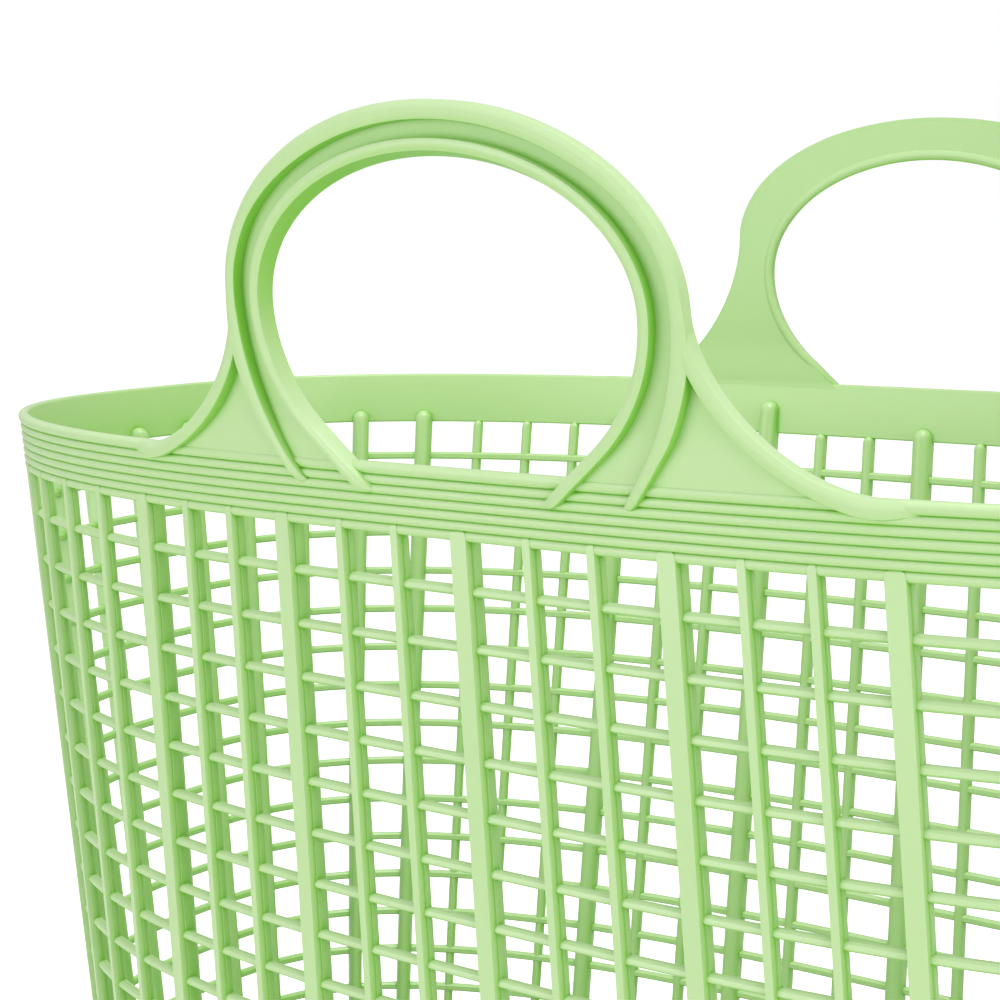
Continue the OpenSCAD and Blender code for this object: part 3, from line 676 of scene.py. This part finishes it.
def build_button_springs():
    low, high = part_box("button_springs")
    outer = (high.x - low.x) / 2
    pair = Shape()
    for y in (low.y + outer, high.y - outer):
        coil(pair, (low.x + high.x) / 2, y, low.z, high.z, outer - SPRING_WIRE, SPRING_WIRE)
    return pair.build("button_springs_mesh", 50.0)


button_springs = build_button_springs()
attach(button_springs, "handle_upper")
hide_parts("button_springs")
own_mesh(button_springs)

# ---------------------------------------------------------------------------
# Materials
# ---------------------------------------------------------------------------


def new_material(name):
    material = bpy.data.materials.new(name)
    material.use_nodes = True
    tree = material.node_tree
    return material, tree, tree.nodes["Principled BSDF"]


def combined(nodes, links, operation, first, second):
    """Two values multiplied or added."""
    node = nodes.new("ShaderNodeMath")
    node.operation = operation
    links.new(first, node.inputs[0])
    links.new(second, node.inputs[1])
    return node.outputs["Value"]


def span(nodes, links, value, source, target):
    """A value moved from the range source to the range target, and held within it."""
    node = nodes.new("ShaderNodeMapRange")
    node.inputs["From Min"].default_value = source[0]
    node.inputs["From Max"].default_value = source[1]
    node.inputs["To Min"].default_value = target[0]
    node.inputs["To Max"].default_value = target[1]
    links.new(value, node.inputs["Value"])
    return node.outputs["Result"]


def openness(nodes, distance, samples):
    """How much open space there is round a point, within a distance in metres."""
    node = nodes.new("ShaderNodeAmbientOcclusion")
    node.samples = samples
    node.inputs["Distance"].default_value = distance
    return node.outputs["AO"]


def add_grain(nodes, links, shader, size, strength):
    """A faint moulding texture."""
    place = nodes.new("ShaderNodeTexCoord")
    noise = nodes.new("ShaderNodeTexNoise")
    noise.inputs["Scale"].default_value = size
    noise.inputs["Detail"].default_value = 3.0
    bump = nodes.new("ShaderNodeBump")
    bump.inputs["Strength"].default_value = strength
    bump.inputs["Distance"].default_value = GRAIN_DEPTH
    links.new(place.outputs["Object"], noise.inputs["Vector"])
    links.new(noise.outputs["Fac"], bump.inputs["Height"])
    links.new(bump.outputs["Normal"], shader.inputs["Normal"])


def plastic(name, pale, recess_shade, rough, grain, grain_size):
    """Moulded plastic: its own pale colour on open faces, with a deeper colour painted in recesses as
    shade.
    """
    material, tree, shader = new_material(name)
    nodes, links = tree.nodes, tree.links
    # ramp on occlusion: painted shade in recesses
    ramp = nodes.new("ShaderNodeValToRGB")
    ramp.color_ramp.elements[0].position = 0.25
    ramp.color_ramp.elements[0].color = (*recess_shade, 1)
    ramp.color_ramp.elements[1].position = 0.80
    ramp.color_ramp.elements[1].color = (*pale, 1)
    links.new(openness(nodes, 0.012, 6), ramp.inputs["Fac"])
    links.new(ramp.outputs["Color"], shader.inputs["Base Color"])
    shader.inputs["Roughness"].default_value = rough
    add_grain(nodes, links, shader, grain_size, grain)
    return material


def facing_middle(nodes, links, surface, middle, weights):
    """How far a face looks away from a middle point: 1 straight away, -1 straight at it."""
    away = nodes.new("ShaderNodeVectorMath")
    away.operation = "SUBTRACT"
    away.inputs[1].default_value = middle
    links.new(surface.outputs["Position"], away.inputs[0])
    weighted = nodes.new("ShaderNodeVectorMath")
    weighted.operation = "MULTIPLY"
    weighted.inputs[1].default_value = weights
    links.new(away.outputs["Vector"], weighted.inputs[0])
    unit = nodes.new("ShaderNodeVectorMath")
    unit.operation = "NORMALIZE"
    links.new(weighted.outputs["Vector"], unit.inputs[0])
    facing = nodes.new("ShaderNodeVectorMath")
    facing.operation = "DOT_PRODUCT"
    links.new(unit.outputs["Vector"], facing.inputs[0])
    links.new(surface.outputs["Normal"], facing.inputs[1])
    return facing.outputs["Value"]


def height_share(nodes, links, surface, low, high, shares):
    """A share that goes from one value to another between two heights above the rim."""
    split = nodes.new("ShaderNodeSeparateXYZ")
    links.new(surface.outputs["Position"], split.inputs["Vector"])
    return span(nodes, links, split.outputs["Z"], ((RIM_Z + low) * MM, (RIM_Z + high) * MM), shares)


def inward_painted_shade(nodes, links, surface):
    """Painted shade on faces that look into the basket: most below the rim, less on the hoops."""
    weights = (1 / RIM_HALF_LEN, 1 / RIM_HALF_WID, 0)
    facing = facing_middle(nodes, links, surface, (CENTRE_X * MM, 0, 0), weights)
    inward = span(nodes, links, facing, (-0.5, -0.1), (1.0, 0.0))
    height = height_share(nodes, links, surface, -12, 40, INNER_PAINTED_SHADE)
    return combined(nodes, links, "MULTIPLY", inward, height)


def opening_painted_shade(nodes, links, surface):
    """Painted shade on faces of a hoop that look at the middle of its hand opening."""
    middle = (CENTRE_X * MM, 0, (RIM_Z + OPEN_MID) * MM)
    facing = facing_middle(nodes, links, surface, middle, (1, 0, 1))
    inward = span(nodes, links, facing, (-0.9, -0.3), (OPENING_PAINTED_SHADE, 0.0))
    height = height_share(nodes, links, surface, 8, 42, (0.0, 1.0))
    return combined(nodes, links, "MULTIPLY", inward, height)


def painted_shade_amount(nodes, links, surface, light_from):
    """How much painted shade the basket's colour gets: away from the light, in recesses and creases,
    inside, round the hand openings and on the underside; faces that look up get painted light."""
    turn = nodes.new("ShaderNodeVectorMath")
    turn.operation = "DOT_PRODUCT"
    turn.inputs[1].default_value = light_from
    links.new(surface.outputs["Normal"], turn.inputs[0])
    # painted shade on faces turned away from the key light
    turned_away_shade = span(nodes, links, turn.outputs["Value"], (-0.35, 0.45), (1.0, 0.15))
    # painted shade in recesses, from occlusion within 18 mm
    closed = span(nodes, links, openness(nodes, 0.018, 6), (0.30, 1.0), (1.0, 0.12))
    # painted shade in narrow creases
    crease_shade = span(nodes, links, openness(nodes, 0.003, 4), (0.35, 0.75), (0.55, 0.0))
    direction = nodes.new("ShaderNodeSeparateXYZ")
    links.new(surface.outputs["Normal"], direction.inputs["Vector"])
    # painted shade on faces that look down, painted light on faces that look up
    below = span(nodes, links, direction.outputs["Z"], (-0.9, 0.6), UNDERSIDE_PAINTED_SHADE)
    depth = combined(nodes, links, "MULTIPLY", turned_away_shade, closed)
    # painted shade on inward faces and round the hand openings
    inner = inward_painted_shade(nodes, links, surface)
    opening = opening_painted_shade(nodes, links, surface)
    for part in (crease_shade, inner, opening, below):
        depth = combined(nodes, links, "ADD", depth, part)
    return depth


def basket_plastic(name, light_from):
    """Pale green whose colour carries painted shade: deeper and richer where a face turns away from the
    light or looks at other plastic, in place of shade, translucency and light bounced between the
    plastic's faces."""
    material, tree, shader = new_material(name)
    nodes, links = tree.nodes, tree.links
    surface = nodes.new("ShaderNodeNewGeometry")
    # one less the painted shade drives the colour ramp
    level = nodes.new("ShaderNodeMath")
    level.operation = "SUBTRACT"
    level.inputs[0].default_value = 1.0
    links.new(painted_shade_amount(nodes, links, surface, light_from), level.inputs[1])
    ramp = nodes.new("ShaderNodeValToRGB")
    # stops from a deep, saturated green painted as shade to the plastic's own pale green
    stops = ramp.color_ramp.elements
    stops[0].position = 0.18
    stops[0].color = (0.23, 0.60, 0.06, 1)
    stops[1].position = 1.0
    stops[1].color = (0.60, 0.82, 0.43, 1)
    for at, colour in ((0.42, (0.36, 0.70, 0.15, 1)), (0.70, (0.50, 0.77, 0.30, 1))):
        stop = stops.new(at)
        stop.color = colour
    links.new(level.outputs["Value"], ramp.inputs["Fac"])
    links.new(ramp.outputs["Color"], shader.inputs["Base Color"])
    shader.inputs["Roughness"].default_value = 0.32
    add_grain(nodes, links, shader, 260.0, 0.10)
    return material


def metal(name, colour, rough, streak):
    """Metal with fine streaks along Z."""
    material, tree, shader = new_material(name)
    nodes, links = tree.nodes, tree.links
    shader.inputs["Metallic"].default_value = 1.0
    shader.inputs["Base Color"].default_value = (*colour, 1)
    place = nodes.new("ShaderNodeTexCoord")
    stretch = nodes.new("ShaderNodeMapping")
    stretch.inputs["Scale"].default_value = (1.0, 1.0, 0.03)
    noise = nodes.new("ShaderNodeTexNoise")
    noise.inputs["Scale"].default_value = 900.0
    links.new(place.outputs["Object"], stretch.inputs["Vector"])
    links.new(stretch.outputs["Vector"], noise.inputs["Vector"])
    streaked = span(nodes, links, noise.outputs["Fac"], (0.0, 1.0), (rough - streak, rough + streak))
    links.new(streaked, shader.inputs["Roughness"])
    return material


# Each plastic: pale colour, deep colour painted as shade in recesses, roughness, strength and fineness
# of its texture
PLASTICS = {
    "chassis_plastic": ((0.15, 0.19, 0.16), (0.08, 0.11, 0.09), 0.55, 0.35, 1400.0),
    "dark_plastic": ((0.035, 0.038, 0.042), (0.02, 0.02, 0.022), 0.45, 0.25, 1600.0),
    "hub_plastic": ((0.60, 0.62, 0.60), (0.38, 0.40, 0.38), 0.42, 0.12, 700.0),
    "nylon": ((0.85, 0.85, 0.79), (0.55, 0.54, 0.46), 0.38, 0.08, 500.0),
    "tyre_rubber": ((0.020, 0.020, 0.022), (0.010, 0.010, 0.011), 0.75, 0.50, 1800.0),
}
MATERIALS = {
    "basket_plastic": basket_plastic("basket_plastic", LIGHT_FROM),
    "steel": metal("steel", (0.55, 0.56, 0.58), 0.30, 0.08),
    "alloy_tube": metal("alloy_tube", (0.72, 0.73, 0.75), 0.34, 0.10),
}
for slot_name, look in PLASTICS.items():
    MATERIALS[slot_name] = plastic(slot_name, *look)

basket.data.materials.append(MATERIALS["basket_plastic"])
button_springs.data.materials.append(MATERIALS["steel"])
for row in frame["record"]["subparts"]:
    obj = frame["nodes"][row["node"]]
    obj.data.materials.clear()
    obj.data.materials.append(MATERIALS[row["material_slot"]])

# ---------------------------------------------------------------------------
# Floor, light and camera
# ---------------------------------------------------------------------------


def plain_floor():
    """Pale floor, with a little light of its own so that it stays near white in the camera's view."""
    material, tree, shader = new_material("floor_paint")
    shader.inputs["Base Color"].default_value = (0.92, 0.92, 0.92, 1)
    shader.inputs["Roughness"].default_value = 0.9
    path = tree.nodes.new("ShaderNodeLightPath")
    seen = path.outputs["Is Camera Ray"]
    glow = span(tree.nodes, tree.links, seen, (0.0, 1.0), (0.0, FLOOR_GLOW))
    shader.inputs["Emission Color"].default_value = (1, 1, 1, 1)
    tree.links.new(glow, shader.inputs["Emission Strength"])
    bpy.ops.mesh.primitive_plane_add(size=60, location=(0, 0, 0))
    floor = bpy.context.object
    floor.name = "floor"
    floor.data.materials.append(material)


def area_light(name, place, target, size, power):
    light = bpy.data.lights.new(name, "AREA")
    light.shape = "DISK"
    light.size = size
    light.energy = power
    obj = bpy.data.objects.new(name, light)
    obj.location = place
    obj.rotation_euler = (Vector(target) - Vector(place)).to_track_quat("-Z", "Y").to_euler()
    bpy.context.scene.collection.objects.link(obj)


def sky(seen, level):
    """White backdrop as the camera sees it, which lights the scene at a lower level."""
    world = bpy.data.worlds.new("studio")
    world.use_nodes = True
    nodes, links = world.node_tree.nodes, world.node_tree.links
    path = nodes.new("ShaderNodeLightPath")
    strength = span(nodes, links, path.outputs["Is Camera Ray"], (0.0, 1.0), (level, seen))
    links.new(strength, nodes["Background"].inputs["Strength"])
    nodes["Background"].inputs["Color"].default_value = (1, 1, 1, 1)
    bpy.context.scene.world = world


def photo_camera():
    """Camera at the fitted place above and in front of the rim."""
    yaw, pitch, roll = -0.6492, 0.1376, -0.0122
    place = Vector((CENTRE_X + 322.36, -538.24, RIM_Z + 63.80)) * MM
    sensor = 36.0
    focal_length = 76.3668
    flat = math.cos(pitch)
    ahead = Vector((math.sin(yaw) * flat, math.cos(yaw) * flat, -math.sin(pitch)))
    level = Vector((math.cos(yaw), -math.sin(yaw), 0))
    above = level.cross(ahead)
    across = level * math.cos(roll) + above * math.sin(roll)
    upward = above * math.cos(roll) - level * math.sin(roll)
    data = bpy.data.cameras.new("photo_camera")
    data.sensor_width = sensor
    data.lens = focal_length
    data.clip_start = 0.01
    data.clip_end = 50.0
    camera = bpy.data.objects.new("photo_camera", data)
    bpy.context.scene.collection.objects.link(camera)
    turn = Matrix((across, upward, -ahead)).transposed()
    camera.matrix_world = Matrix.Translation(place) @ turn.to_4x4()
    bpy.context.scene.camera = camera


plain_floor()
sky(SKY_SEEN, SKY_LIGHT)
area_light("key", Vector((0, 0, 0.4)) + 3.0 * LIGHT_FROM, (0, 0, 0.4), 1.8, 20)
area_light("top", (0.3, -0.2, 2.6), (0, 0, 0.35), 0.9, 26)
area_light("fill", (2.4, -0.9, 0.7), (0, 0, 0.35), 1.6, 15)
photo_camera()
bpy.context.scene.view_settings.view_transform = "Standard"
